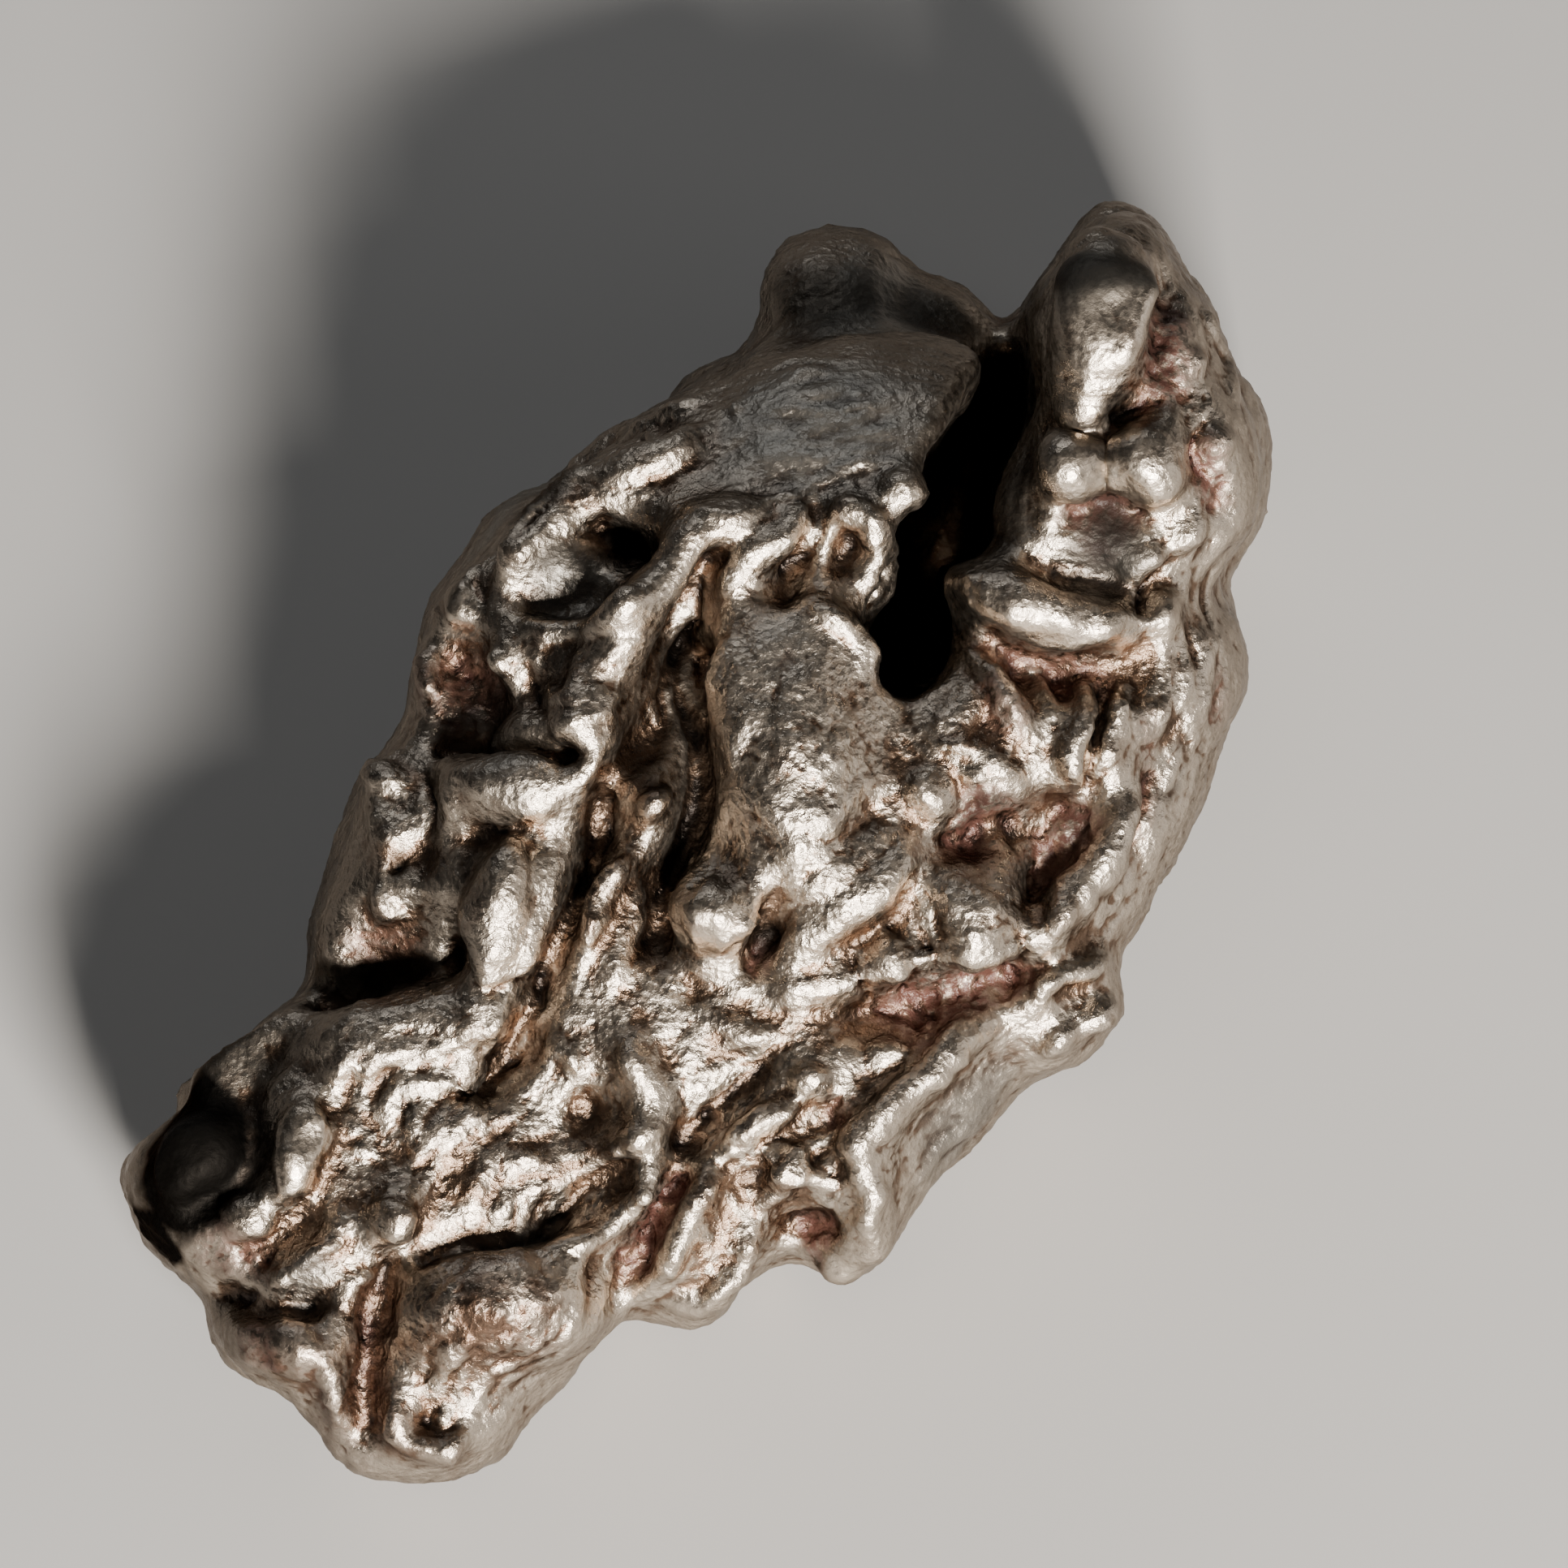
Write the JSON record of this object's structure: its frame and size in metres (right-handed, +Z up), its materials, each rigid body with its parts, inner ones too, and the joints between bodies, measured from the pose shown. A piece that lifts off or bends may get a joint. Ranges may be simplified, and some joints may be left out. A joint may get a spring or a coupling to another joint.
{
  "type": "iron meteorite",
  "caption": "Sculpted lump of iron meteorite with a curved horn, a deep cleft, flow ribs and pitted hollows, lying on its back.",
  "frame": {"origin": "middle of the bounding box, on the plane that the lump rests on", "axes": "+Z up from the surface it lies on, +Y along its longest extent from the rounded lobe towards the horn, +X to the right as the sculpted face is seen"},
  "size_m": [0.0442, 0.0548, 0.0283],
  "materials": {
    "meteoric_iron": "satin"
  },
  "bodies": {
    "root": {"meteorite": "meteoric_iron"}
  },
  "joints": []
}
